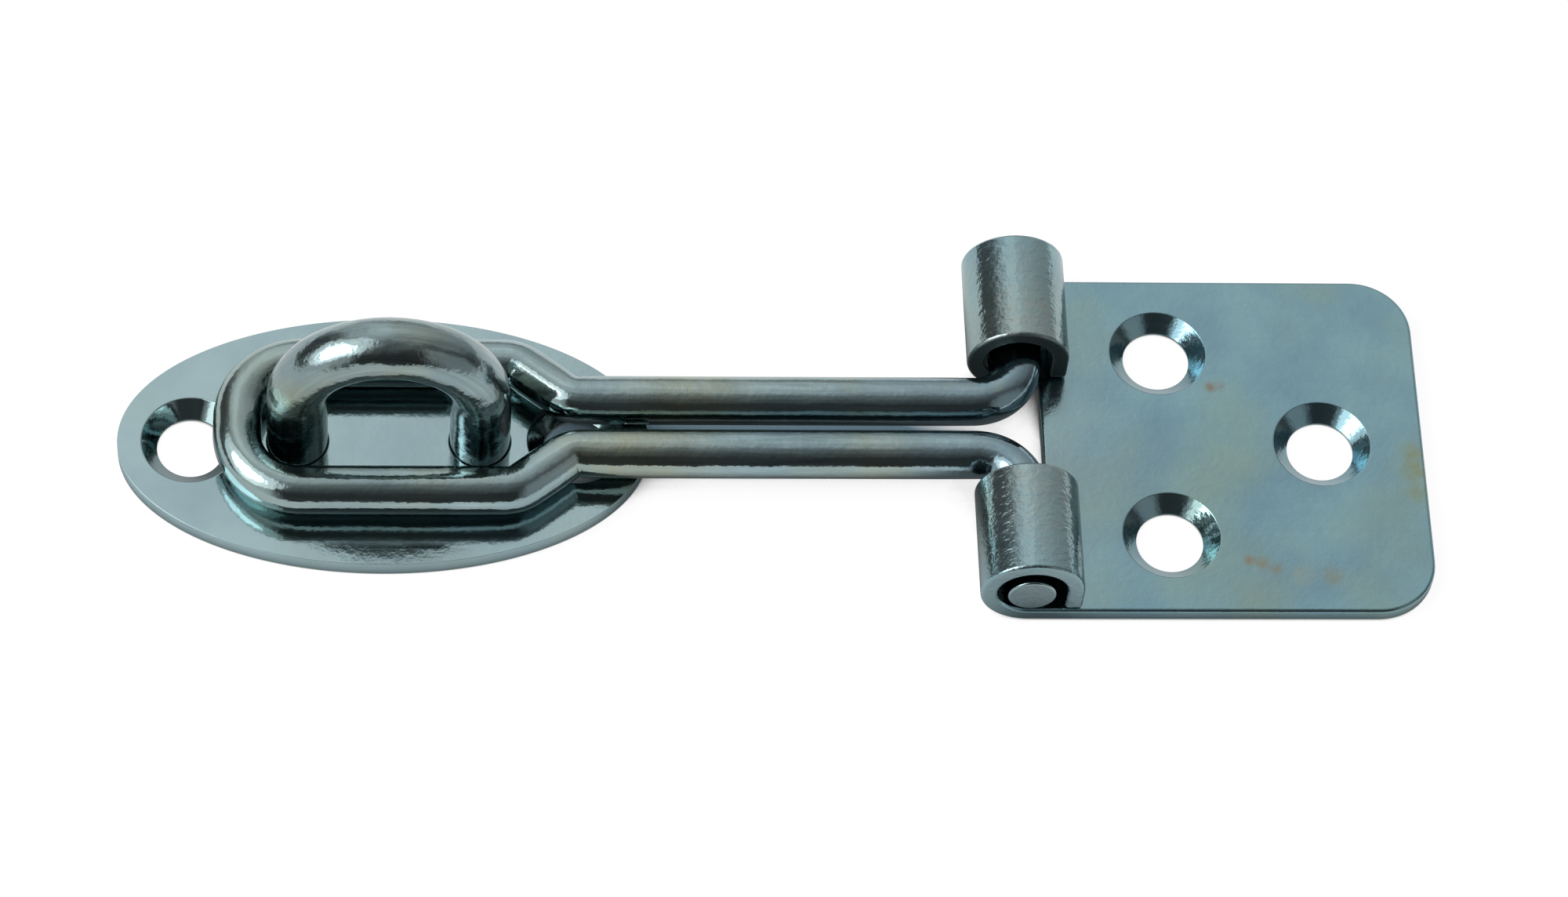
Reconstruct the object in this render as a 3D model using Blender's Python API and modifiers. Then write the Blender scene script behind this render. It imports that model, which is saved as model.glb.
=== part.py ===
"""Wire hasp and staple: a bent wire loop hinged in a rolled leaf, closing over a riveted staple.

Metres, +Z up. The origin is the middle of the hinge plate's back, +X runs from the wire hasp
towards the hinge plate's free edge, and both plates lie on the plane Z = 0.
"""

import math

import bmesh
import bpy

# Fits
SEAT_GAP = 0.0003  # clearance where one piece rests on another or passes through it
PIN_PLAY = 0.0010  # the wire pins turn loosely in the rolled knuckles
LOOP_SIDE_PLAY = 0.0020  # loop to staple leg, on each side
LOOP_END_PLAY = 0.0005  # loop tip to the staple's outer leg
SHOULDER_PLAY = 0.0005  # staple's inner leg to where the loop starts to narrow

# Both plates
SHEET = 0.0018

# Hinge plate
LEAF_WIDTH = 0.0400
LEAF_REACH = 0.0421  # pin axis to the free edge
LEAF_CORNER = 0.0061
NOTCH_WIDTH = 0.0152
NOTCH_EDGE = 0.0024  # pin axis to the edge between the two knuckles
HOLE_SIDE_MARGIN = 0.0090  # pair of screw holes to the plate's long sides
HOLE_NOTCH_MARGIN = 0.0127  # pair of screw holes to the notch
HOLE_END_MARGIN = 0.0106  # single screw hole to the free edge

# Screw holes, countersunk at 90 degrees
HOLE_RADIUS = 0.00345
COUNTERSINK_RADIUS = 0.00505

# Staple, of round wire with its ends riveted over behind the plate
STAPLE_RADIUS = 0.0031
EYE_SPAN = 0.0124  # clear width between the legs
EYE_HEIGHT = 0.0145  # clear height over the plate
STAPLE_REACH = 0.0648  # pin axis to the middle of the staple
RIVET_FLARE = 0.0008  # how far the riveted ends spread
RIVET_DEPTH = 0.0009

# Oval staple plate
OVAL_WIDTH = 0.0294
OVAL_OFFSET = 0.0005  # the staple stands this far off the oval's middle, towards the hinge
HOLE_TO_LEG = 0.0104  # screw holes to the staple's legs, before that offset
OVAL_HOLE_MARGIN = 0.00745  # screw holes to the oval's ends

# Wire hasp, one bent wire
WIRE_RADIUS = 0.0025
LEG_SPACING = 0.0064  # between the middles of the two parallel legs
FLARE_RADIUS = 0.0048  # bend from each leg into its pin
NECK_LENGTH = 0.0056  # over which the loop narrows to the legs
NECK_RADIUS = 0.0032
TIP_RADIUS = 0.0066
PIN_RECESS = 0.0001  # pin ends inside the knuckles' outer faces
PIN_CHAMFER = 0.00025

# Edges and facets
SHEARED_EDGE = 0.00018
OVAL_EDGE = 0.00035
EDGE_SEGMENTS = 2
HOLE_STEPS = 40
OVAL_STEPS = 72
WIRE_FACETS = 8  # gives 20 sides round a wire
BEND_STEP = math.radians(9.0)
ROLL_STEP = math.radians(7.0)
CUT_MARGIN = 0.0020  # how far cutters run past what they cut

# Worked out from the sizes above
BORE_RADIUS = WIRE_RADIUS + PIN_PLAY
KNUCKLE_RADIUS = BORE_RADIUS + SHEET
AXIS_X = -(LEAF_REACH + NOTCH_EDGE) / 2
PIN_HEIGHT = SHEET + SEAT_GAP + WIRE_RADIUS
STAPLE_SPAN = EYE_SPAN + 2 * STAPLE_RADIUS
STAPLE_TOP = SHEET + EYE_HEIGHT + STAPLE_RADIUS
STAPLE_X = AXIS_X - STAPLE_REACH
OVAL_X = STAPLE_X - OVAL_OFFSET
OVAL_HOLE_REACH = STAPLE_SPAN / 2 + HOLE_TO_LEG
OVAL_LENGTH = 2 * (OVAL_HOLE_REACH + OVAL_HOLE_MARGIN)
LOOP_TIP = STAPLE_REACH + STAPLE_SPAN / 2 + STAPLE_RADIUS + LOOP_END_PLAY + WIRE_RADIUS
LOOP_HALF_WIDTH = STAPLE_RADIUS + LOOP_SIDE_PLAY + WIRE_RADIUS
SHOULDER_REACH = STAPLE_REACH - STAPLE_SPAN / 2 - STAPLE_RADIUS - SHOULDER_PLAY


def clear_scene():
    for old in list(bpy.data.objects):
        bpy.data.objects.remove(old, do_unlink=True)


def new_collection(name):
    collection = bpy.data.collections.new(name)
    bpy.context.scene.collection.children.link(collection)
    return collection


def zinc(name, colour, roughness):
    """Bright zinc plate; colour is linear RGB."""
    material = bpy.data.materials.new(name)
    material.use_nodes = True
    shader = material.node_tree.nodes["Principled BSDF"]
    shader.inputs["Base Color"].default_value = (*colour, 1.0)
    shader.inputs["Metallic"].default_value = 1.0
    shader.inputs["Roughness"].default_value = roughness
    return material


def arc(centre, radius, start, end, step):
    """Points from angle start to angle end about centre, at most step apart."""
    count = max(2, math.ceil(abs(end - start) / step))
    angles = (start + (end - start) * i / count for i in range(count + 1))
    return [(centre[0] + radius * math.cos(a), centre[1] + radius * math.sin(a)) for a in angles]


def rounded_path(corners, radii):
    """Open path through the corners, with each inner corner rounded to its radius."""
    path = [corners[0]]
    for before, here, after, radius in zip(corners, corners[1:], corners[2:], radii):
        came = math.atan2(here[1] - before[1], here[0] - before[0])
        goes = math.atan2(after[1] - here[1], after[0] - here[0])
        turn = math.remainder(goes - came, 2 * math.pi)
        side = math.copysign(1.0, turn)
        setback = radius * math.tan(abs(turn) / 2)
        start = (here[0] - setback * math.cos(came), here[1] - setback * math.sin(came))
        centre = (
            start[0] - side * radius * math.sin(came),
            start[1] + side * radius * math.cos(came),
        )
        first = came - side * math.pi / 2
        path += arc(centre, radius, first, first + turn, BEND_STEP)
    path.append(corners[-1])
    return path


def mesh_from_curve(curve_object, collection):
    """Replace a curve object by a mesh object with welded caps."""
    depsgraph = bpy.context.evaluated_depsgraph_get()
    mesh = bpy.data.meshes.new_from_object(curve_object.evaluated_get(depsgraph))
    welded = bmesh.new()
    welded.from_mesh(mesh)
    bmesh.ops.remove_doubles(welded, verts=welded.verts, dist=1e-6)
    bmesh.ops.transform(welded, matrix=curve_object.matrix_world, verts=welded.verts)
    welded.to_mesh(mesh)
    welded.free()
    name = curve_object.name
    bpy.data.objects.remove(curve_object, do_unlink=True)
    solid = bpy.data.objects.new(name, mesh)
    mesh.name = name
    collection.objects.link(solid)
    return solid


def flat_outline(name, points, thickness, collection, upright=False):
    """A closed outline extruded both ways; upright turns its plane from XY to XZ."""
    curve = bpy.data.curves.new(name, "CURVE")
    curve.dimensions = "2D"
    curve.fill_mode = "BOTH"
    curve.extrude = thickness / 2
    spline = curve.splines.new("POLY")
    spline.points.add(len(points) - 1)
    for point, (x, y) in zip(spline.points, points):
        point.co = (x, y, 0.0, 1.0)
    spline.use_cyclic_u = True
    outline = bpy.data.objects.new(name, curve)
    collection.objects.link(outline)
    if upright:
        outline.rotation_euler.x = math.pi / 2
    bpy.context.view_layer.update()
    return mesh_from_curve(outline, collection)


def round_wire(name, points, radius, collection):
    """A capped wire through points of (x, y, z, radius factor)."""
    curve = bpy.data.curves.new(name, "CURVE")
    curve.dimensions = "3D"
    curve.bevel_depth = radius
    curve.bevel_resolution = WIRE_FACETS
    curve.use_fill_caps = True
    spline = curve.splines.new("POLY")
    spline.points.add(len(points) - 1)
    for point, (x, y, z, factor) in zip(spline.points, points):
        point.co = (x, y, z, 1.0)
        point.radius = factor
    wire = bpy.data.objects.new(name, curve)
    collection.objects.link(wire)
    bpy.context.view_layer.update()
    return mesh_from_curve(wire, collection)


def turned(name, profile, location, collection):
    """A solid of revolution about Z from (radius, height) points, top to bottom."""
    mesh = bpy.data.meshes.new(name)
    edges = [(i, i + 1) for i in range(len(profile) - 1)]
    mesh.from_pydata([(radius, 0.0, height) for radius, height in profile], edges, [])
    solid = bpy.data.objects.new(name, mesh)
    solid.location = location
    collection.objects.link(solid)
    screw = solid.modifiers.new("turn", "SCREW")
    screw.axis = "Z"
    screw.steps = HOLE_STEPS
    screw.render_steps = HOLE_STEPS
    screw.use_merge_vertices = True
    screw.merge_threshold = 1e-6
    return solid


def hide_cutter(cutter):
    cutter.display_type = "WIRE"
    cutter.hide_render = True


def cut(target, cutter, operation="DIFFERENCE"):
    hide_cutter(cutter)
    boolean = target.modifiers.new(cutter.name, "BOOLEAN")
    boolean.operation = operation
    boolean.object = cutter
    boolean.solver = "EXACT"


def soften_edges(target, width):
    bevel = target.modifiers.new("edges", "BEVEL")
    bevel.width = width
    bevel.segments = EDGE_SEGMENTS
    bevel.limit_method = "ANGLE"
    bevel.angle_limit = math.radians(50.0)


def screw_hole(target, name, x, y, cutters):
    """Countersunk hole from the front face through to the back."""
    depth = COUNTERSINK_RADIUS - HOLE_RADIUS
    profile = [
        (0.0, SHEET + CUT_MARGIN),
        (COUNTERSINK_RADIUS + CUT_MARGIN, SHEET + CUT_MARGIN),
        (HOLE_RADIUS, SHEET - depth),
        (HOLE_RADIUS, -CUT_MARGIN),
        (0.0, -CUT_MARGIN),
    ]
    cut(target, turned(name, profile, (x, y, 0.0), cutters))


def finish(solid, material):
    solid.data.materials.clear()
    solid.data.materials.append(material)
    solid.data.shade_smooth()
    solid.data.set_sharp_from_angle(angle=math.radians(35.0))


def roll_profile():
    """Side view of the leaf: flat sheet, rolled under and round, then straight down to its own face."""
    centre = (0.0, KNUCKLE_RADIUS)
    outside = arc(centre, KNUCKLE_RADIUS, -math.pi / 2, -2 * math.pi, ROLL_STEP)
    inside = arc(centre, BORE_RADIUS, -2 * math.pi, -math.pi / 2, ROLL_STEP)
    foot = [(KNUCKLE_RADIUS, SHEET + SEAT_GAP), (BORE_RADIUS, SHEET + SEAT_GAP)]
    blank_end = LEAF_REACH + CUT_MARGIN
    return [(blank_end, 0.0), *outside, *foot, *inside, (blank_end, SHEET)]


def leaf_plan():
    """Plan view of the leaf, with rounded free corners."""
    side = LEAF_WIDTH / 2
    back = -KNUCKLE_RADIUS - CUT_MARGIN
    inner = LEAF_REACH - LEAF_CORNER
    far_corner = arc((inner, side - LEAF_CORNER), LEAF_CORNER, 0.0, math.pi / 2, BEND_STEP)
    near_corner = arc((inner, LEAF_CORNER - side), LEAF_CORNER, -math.pi / 2, 0.0, BEND_STEP)
    return [*near_corner, *far_corner, (back, side), (back, -side)]


def notch_profile():
    """Side view of the notch: through the sheet up to its edge, above the sheet beyond it."""
    reach = KNUCKLE_RADIUS + CUT_MARGIN
    top = KNUCKLE_RADIUS + reach
    step = SHEET + SEAT_GAP / 2
    return [
        (-reach, -CUT_MARGIN),
        (NOTCH_EDGE, -CUT_MARGIN),
        (NOTCH_EDGE, step),
        (reach, step),
        (reach, top),
        (-reach, top),
    ]


def build_hinge_plate(pieces, cutters):
    blank_width = LEAF_WIDTH + 2 * CUT_MARGIN
    leaf = flat_outline("hinge_plate", roll_profile(), blank_width, pieces, upright=True)
    leaf.location.x = AXIS_X
    plan = flat_outline("leaf_plan", leaf_plan(), 4 * KNUCKLE_RADIUS + CUT_MARGIN, cutters)
    plan.location.x = AXIS_X
    cut(leaf, plan, "INTERSECT")
    notch = flat_outline("notch", notch_profile(), NOTCH_WIDTH, cutters, upright=True)
    notch.location.x = AXIS_X
    cut(leaf, notch)
    soften_edges(leaf, SHEARED_EDGE)
    pair_x = AXIS_X + NOTCH_EDGE + HOLE_NOTCH_MARGIN
    pair_y = LEAF_WIDTH / 2 - HOLE_SIDE_MARGIN
    screw_hole(leaf, "leaf_hole_left", pair_x, pair_y, cutters)
    screw_hole(leaf, "leaf_hole_right", pair_x, -pair_y, cutters)
    single_x = AXIS_X + LEAF_REACH - HOLE_END_MARGIN
    screw_hole(leaf, "leaf_hole_end", single_x, 0.0, cutters)
    finish(leaf, zinc("hinge_plate", (0.45, 0.52, 0.54), 0.35))


def hasp_path():
    """Middle line of the hasp wire in its own plane, from one pin end to the other."""
    pin_end = LEAF_WIDTH / 2 - PIN_RECESS
    leg = LEG_SPACING / 2
    neck = SHOULDER_REACH - NECK_LENGTH
    half = [
        (0.0, pin_end - PIN_CHAMFER),
        (0.0, leg),
        (-neck, leg),
        (-SHOULDER_REACH, LOOP_HALF_WIDTH),
        (-LOOP_TIP, LOOP_HALF_WIDTH),
    ]
    radii = [FLARE_RADIUS, NECK_RADIUS, NECK_RADIUS, TIP_RADIUS]
    corners = half + [(x, -y) for x, y in reversed(half)]
    path = rounded_path(corners, radii + radii[::-1])
    return [(0.0, pin_end), *path, (0.0, -pin_end)]


def build_wire_hasp(pieces):
    """The hasp, with its origin on the axis of its two pins."""
    path = hasp_path()
    chamfered = (WIRE_RADIUS - PIN_CHAMFER) / WIRE_RADIUS
    factors = [chamfered] + [1.0] * (len(path) - 2) + [chamfered]
    points = [(x, y, 0.0, factor) for (x, y), factor in zip(path, factors)]
    hasp = round_wire("wire_hasp", points, WIRE_RADIUS, pieces)
    axis = bpy.data.objects.new("pin_axis", None)
    axis.location = (AXIS_X, 0.0, PIN_HEIGHT)
    pieces.objects.link(axis)
    hasp.parent = axis
    finish(hasp, zinc("wire_hasp", (0.36, 0.38, 0.36), 0.28))


def build_staple_plate(pieces, cutters):
    step = 2 * math.pi / OVAL_STEPS
    oval = [
        (OVAL_LENGTH / 2 * math.cos(step * i), OVAL_WIDTH / 2 * math.sin(step * i))
        for i in range(OVAL_STEPS)
    ]
    plate = flat_outline("staple_plate", oval, SHEET, pieces)
    plate.location = (OVAL_X, 0.0, SHEET / 2)
    soften_edges(plate, OVAL_EDGE)
    screw_hole(plate, "oval_hole_outer", OVAL_X - OVAL_HOLE_REACH, 0.0, cutters)
    screw_hole(plate, "oval_hole_inner", OVAL_X + OVAL_HOLE_REACH, 0.0, cutters)
    bore = STAPLE_RADIUS + SEAT_GAP
    flared = bore + RIVET_FLARE * (RIVET_DEPTH + CUT_MARGIN) / RIVET_DEPTH
    profile = [
        (0.0, SHEET + CUT_MARGIN),
        (bore, SHEET + CUT_MARGIN),
        (bore, RIVET_DEPTH),
        (flared, -CUT_MARGIN),
        (0.0, -CUT_MARGIN),
    ]
    for name, side in (("rivet_seat_outer", -1), ("rivet_seat_inner", 1)):
        leg_x = STAPLE_X + side * STAPLE_SPAN / 2
        cut(plate, turned(name, profile, (leg_x, 0.0, 0.0), cutters))
    finish(plate, zinc("staple_plate", (0.43, 0.50, 0.53), 0.32))


def build_staple(pieces):
    """An upright arch whose two ends spread in the plate's back, flush with it."""
    leg = STAPLE_SPAN / 2
    crown = arc((0.0, STAPLE_TOP - leg), leg, math.pi, 0.0, BEND_STEP)
    path = [(-leg, 0.0), (-leg, RIVET_DEPTH), *crown, (leg, RIVET_DEPTH), (leg, 0.0)]
    spread = (STAPLE_RADIUS + RIVET_FLARE) / STAPLE_RADIUS
    factors = [spread] + [1.0] * (len(path) - 2) + [spread]
    points = [(x, 0.0, z, factor) for (x, z), factor in zip(path, factors)]
    staple = round_wire("staple", points, STAPLE_RADIUS, pieces)
    staple.location.x = STAPLE_X
    finish(staple, zinc("staple", (0.34, 0.36, 0.35), 0.25))


def main():
    clear_scene()
    pieces = new_collection("wire_hasp_and_staple")
    cutters = new_collection("cutters")
    build_hinge_plate(pieces, cutters)
    build_wire_hasp(pieces)
    build_staple_plate(pieces, cutters)
    build_staple(pieces)


main()
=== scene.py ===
"""Dresses a wire hasp and staple in bright zinc plate, on a pale floor in soft studio light.

All lengths are metres unless a name ends in _mm, and everything stands in the frame of the CAD.
"""
import logging
import math
from collections.abc import Callable
from dataclasses import dataclass, field
from enum import Enum

import bpy
import numpy as np
from mathutils import Matrix, Vector
from mathutils.geometry import delaunay_2d_cdt


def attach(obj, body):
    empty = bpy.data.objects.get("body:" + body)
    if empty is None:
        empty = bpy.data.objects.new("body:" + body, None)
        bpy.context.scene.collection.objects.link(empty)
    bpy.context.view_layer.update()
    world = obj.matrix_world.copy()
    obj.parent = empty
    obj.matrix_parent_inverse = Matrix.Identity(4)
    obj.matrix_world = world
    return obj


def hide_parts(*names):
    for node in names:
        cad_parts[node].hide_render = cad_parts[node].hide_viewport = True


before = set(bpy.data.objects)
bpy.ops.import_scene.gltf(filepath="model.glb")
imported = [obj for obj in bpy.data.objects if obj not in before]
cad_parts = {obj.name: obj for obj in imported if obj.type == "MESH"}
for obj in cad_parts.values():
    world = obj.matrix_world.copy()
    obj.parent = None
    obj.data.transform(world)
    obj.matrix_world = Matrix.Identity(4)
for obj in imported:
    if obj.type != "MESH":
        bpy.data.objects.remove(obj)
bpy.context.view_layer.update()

STOCK = "stock"  # attribute: a point's place in the straight wire or flat sheet before bending
SHEARED = "sheared"  # attribute: 1 on cut edges and ends, below 0 on smooth cones, 0 elsewhere
# In the leaf's notch the walls' colour is darkened most by this value: painted shade.
NOTCH_SHADE = 4.0  # the largest value of that attribute, in the leaf's notch
TURN = 2 * math.pi
MM = 1000.0  # millimetres in a metre
RIM_POINTS = 6  # on each rounded corner of a rim
END_POINTS = 7  # on the rounding of a wire's end
HOLE_POINTS = 96
HOLE_SHARE = 0.999  # of a hole's radius: a triangle whose middle lies nearer is in the hole
BEND_ROWS = 25  # the rows of a wire over which a bend's flattening comes and goes
Tree, Socket = bpy.types.NodeTree, bpy.types.NodeSocket
Array = np.ndarray
Stretch = tuple[Array, Array]  # points of a line, with a heading or a normal at each
Pair = tuple[float, float]
Place = tuple[float, float, float]
log = logging.getLogger("latch")


class Body(Enum):
    """The two bodies of the latch, by the names that the CAD gives them."""

    MOUNTING = "mounting"
    HASP = "hasp"


class Bend(Enum):
    """Whether a corner's arc bulges out of the metal or is hollowed into it."""

    BULGING = 1.0
    HOLLOW = -1.0


@dataclass
class Shell:
    """A closed surface as whole arrays.

    places and stock are (n, 3), normals are unit and outward, sheared is (n,), and quads and tris
    hold vertex numbers.
    """

    places: Array
    normals: Array
    stock: Array
    sheared: Array
    quads: Array
    tris: Array

    def face_outwards(self) -> None:
        """Turn round each face whose corner order disagrees with its vertices' normals."""
        for name in ("quads", "tris"):
            faces = getattr(self, name)
            if not len(faces):
                continue
            a, b, c = (self.places[faces[:, k]] for k in (0, 1, 2))
            facing = np.cross(b - a, c - a)
            if name == "quads":
                d = self.places[faces[:, 3]]
                facing = np.cross(c - a, d - b)
            wanted = self.normals[faces].sum(axis=1)
            wrong = (facing * wanted).sum(axis=1) < 0
            faces[wrong] = faces[wrong][:, ::-1]


def srgb(code: str) -> tuple[float, float, float, float]:
    """Turn a hex colour as seen on a screen into linear light.

    Args:
        code: six hex digits.

    Returns:
        Linear red, green and blue, and an alpha of 1.
    """
    seen = [int(code[i : i + 2], 16) / 255 for i in (0, 2, 4)]
    linear = [c / 12.92 if c <= 0.04045 else ((c + 0.055) / 1.055) ** 2.4 for c in seen]
    return (*linear, 1.0)


def add_node(
    tree: Tree,
    kind: str,
    settings: dict[str, object] | None = None,
    inputs: dict[str | int, object] | None = None,
) -> bpy.types.Node:
    """Add a node with its settings, its input values and its links.

    Args:
        tree: the node tree that gets the node.
        kind: the node's type name, without ShaderNode in front.
        settings: values for the node's own properties.
        inputs: for each input, by name or number, a value or an output socket to link.

    Returns:
        The new node.
    """
    node = tree.nodes.new("ShaderNode" + kind)
    for name, value in (settings or {}).items():
        setattr(node, name, value)
    for name, value in (inputs or {}).items():
        if isinstance(value, Socket):
            tree.links.new(value, node.inputs[name])
        else:
            node.inputs[name].default_value = value
    return node


def math_node(tree: Tree, operation: str, first: object, second: object) -> Socket:
    """Work out one number from two, each a value or a socket, and return its socket."""
    inputs = {0: first, 1: second}
    return add_node(tree, "Math", {"operation": operation}, inputs).outputs[0]


def scaled(tree: Tree, vector: object, factor: object) -> Socket:
    """Multiply a place or a colour by a number, each a value or a socket."""
    inputs = {0: vector, "Scale": factor}
    return add_node(tree, "VectorMath", {"operation": "SCALE"}, inputs).outputs["Vector"]


def map_range(
    tree: Tree, value: Socket, source: Pair, target: Pair = (0.0, 1.0), kind: str = "LINEAR"
) -> Socket:
    """Take a value from one range to another, held at both ends.

    Args:
        tree: the node tree.
        value: the value's socket.
        source: the range that it comes from.
        target: what that range's two ends become.
        kind: how it runs from end to end.

    Returns:
        The socket with the result.
    """
    inputs = {0: value, 1: source[0], 2: source[1], 3: target[0], 4: target[1]}
    return add_node(tree, "MapRange", {"interpolation_type": kind}, inputs).outputs[0]


def mix_colours(tree: Tree, share: object, first: object, second: object) -> Socket:
    """Mix two colours, each a value or a socket, by the second one's share."""
    inputs = {0: share, 6: first, 7: second}
    return add_node(tree, "Mix", {"data_type": "RGBA"}, inputs).outputs[2]


def fill_ramp(ramp: bpy.types.Node, stops: tuple[Pair, ...]) -> None:
    """Give a colour ramp its grey stops.

    Args:
        ramp: a ColorRamp node.
        stops: pairs of position and grey value, in rising order.
    """
    elements = ramp.color_ramp.elements
    while len(elements) < len(stops):
        elements.new(1.0)
    for element, (position, grey) in zip(elements, stops):
        element.position = position
        element.color = (grey, grey, grey, 1.0)


def arc_points(centre: Pair, radius: float, start: float, end: float, count: int) -> Stretch:
    """Points on an arc: the centre plus radius times (cos a, sin a), with a from start to end.

    Args:
        centre: the arc's centre.
        radius: its radius.
        start: first angle.
        end: last angle.
        count: how many points, both ends included.

    Returns:
        The points and the unit radial directions, each (count, 2).
    """
    angles = np.linspace(start, end, count)
    radial = np.stack([np.cos(angles), np.sin(angles)], axis=1)
    return np.asarray(centre) + radius * radial, radial


@dataclass(frozen=True)
class Outline:
    """A closed line in the plane of a sheet.

    It has points, unit normals away from the metal, and how dull the wall is at each point;
    in the leaf's notch that also paints shade on the wall.
    """

    points: Array
    away: Array
    dull_and_shade: Array

    @staticmethod
    def joined(parts: list[Stretch]) -> "Outline":
        """One outline from stretches of (points, normals), laid end to end."""
        points, away = (np.concatenate([part[k] for part in parts]) for k in (0, 1))
        return Outline(points, away, np.ones(len(points)))

    @staticmethod
    def circle(centre: Pair, radius: float, count: int) -> "Outline":
        """A round hole's edge; the normals point to its centre, away from the metal.

        Args:
            centre: the hole's centre.
            radius: its radius.
            count: how many points.

        Returns:
            The outline, without a doubled last point.
        """
        points, radial = arc_points(centre, radius, 0.0, TURN, count + 1)
        return Outline(points[:-1], -radial[:-1], np.ones(count))


@dataclass(frozen=True)
class Rim:
    """How a sheet's edge runs from its front face to its back.

    Each row has the distance into the metal from the outline, the height over the back, and the
    normal as (away from the metal, towards the front).
    """

    inset: Array
    height: Array
    normal: Array
    sheared: float  # the wall's value of the attribute of that name

    @staticmethod
    def through(corners: list[Pair], radii: list[float], sheared: float = 0.0) -> "Rim":
        """A rim through corners of (inset, height), each rounded to its radius.

        A rounded corner is the arc that touches both of its sides.

        Args:
            corners: from a point on the front face to a point on the back.
            radii: one for each inner corner.
            sheared: the wall's value of the attribute of that name.

        Returns:
            The rim, with the arcs' exact normals.
        """
        line, headings = rounded_line(np.array(corners), radii, [RIM_POINTS] * len(radii))
        along = np.stack([np.cos(headings), np.sin(headings)], axis=1)
        return Rim(line[:, 0], line[:, 1], -along[:, ::-1], sheared)


def rounded_line(corners: Array, radii: list[float], counts: list[int]) -> Stretch:
    """An open line through corners, each inner one replaced by the arc that touches both sides.

    Args:
        corners: (n, 2).
        radii: one for each inner corner.
        counts: how many points each arc gets.

    Returns:
        The points, and at each the heading angle of the line.
    """
    points = [corners[:1]]
    first = corners[1] - corners[0]
    headings = [np.array([math.atan2(first[1], first[0])])]
    bends = zip(corners, corners[1:], corners[2:], radii, counts)
    for before, here, after, radius, count in bends:
        came = math.atan2(*(here - before)[::-1])
        turn = math.remainder(math.atan2(*(after - here)[::-1]) - came, TURN)
        side = math.copysign(1.0, turn)
        ahead = np.array([math.cos(came), math.sin(came)])
        start = here - radius * math.tan(abs(turn) / 2) * ahead
        centre = start + side * radius * np.array([-ahead[1], ahead[0]])
        first_angle = came - side * math.pi / 2
        bend, _ = arc_points(tuple(centre), radius, first_angle, first_angle + turn, count)
        points.append(bend)
        headings.append(np.linspace(came, came + turn, count))
    points.append(corners[-1:])
    headings.append(headings[-1][-1:])
    line, angles = np.concatenate(points), np.unwrap(np.concatenate(headings))
    closest = 1e-7
    apart = np.concatenate([[True], np.hypot(*np.diff(line, axis=0).T) > closest])
    return line[apart], angles[apart]


def lengths(line: Array) -> Array:
    """How far along a line each of its points is."""
    return np.concatenate([[0.0], np.hypot(*np.diff(line, axis=0).T).cumsum()])


def resampled(at: Array, line: Array, headings: Array) -> Stretch:
    """The line at other distances along it, by linear interpolation.

    Args:
        at: the distances wanted.
        line: (n, 2).
        headings: (n,).

    Returns:
        The points and the headings there.
    """
    along = lengths(line)
    dense = np.stack([np.interp(at, along, line[:, k]) for k in (0, 1)], axis=1)
    return dense, np.interp(at, along, headings)


def ring_quads(number: Array) -> Array:
    """Quads between the rows of a grid of vertices, where each row is a closed ring.

    Args:
        number: (rows, points of a ring), the vertices' numbers.

    Returns:
        (n, 4) vertex numbers.
    """
    following = np.roll(number, -1, axis=1)
    ring = [number[:-1], following[:-1], following[1:], number[1:]]
    return np.stack(ring, axis=-1).reshape(-1, 4)


def densified(line: Array, headings: Array, step: float) -> Stretch:
    """The same line with a point at least every step along it.

    Args:
        line: (n, 2).
        headings: (n,).
        step: largest spacing.

    Returns:
        The denser points and headings.
    """
    along = lengths(line)
    extra = np.arange(0.0, along[-1], step)
    gap = np.abs(extra[:, None] - along[None, :]).min(axis=1)
    return resampled(np.sort(np.concatenate([along, extra[gap > step / 2]])), line, headings)


def round_ends(
    line: Array, headings: Array, radii: Array, edge: float
) -> tuple[Array, Array, Array]:
    """Round the rims of a wire's two ends.

    Near an end the radius is the wire's less edge times (1 - sin a), at edge times (1 - cos a) from
    the end, with a from 0 to a quarter turn.

    Args:
        line: (n, 2), straight near its ends.
        headings: (n,).
        radii: (n,).
        edge: radius of the rounding.

    Returns:
        The line, headings and radii with the rounding's own points.
    """
    angle = np.linspace(0.0, math.pi / 2, END_POINTS)
    along = lengths(line)
    near = edge * (1 - np.cos(angle))
    clear = edge * 1.3  # where the wire's own points start again
    body = along[(along > clear) & (along < along[-1] - clear)]
    at = np.concatenate([near, body, (along[-1] - near)[::-1]])
    less = edge * (1 - np.sin(angle))
    cut = np.concatenate([less, np.zeros(len(body)), less[::-1]])
    return *resampled(at, line, headings), np.interp(at, along, radii) - cut


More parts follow.
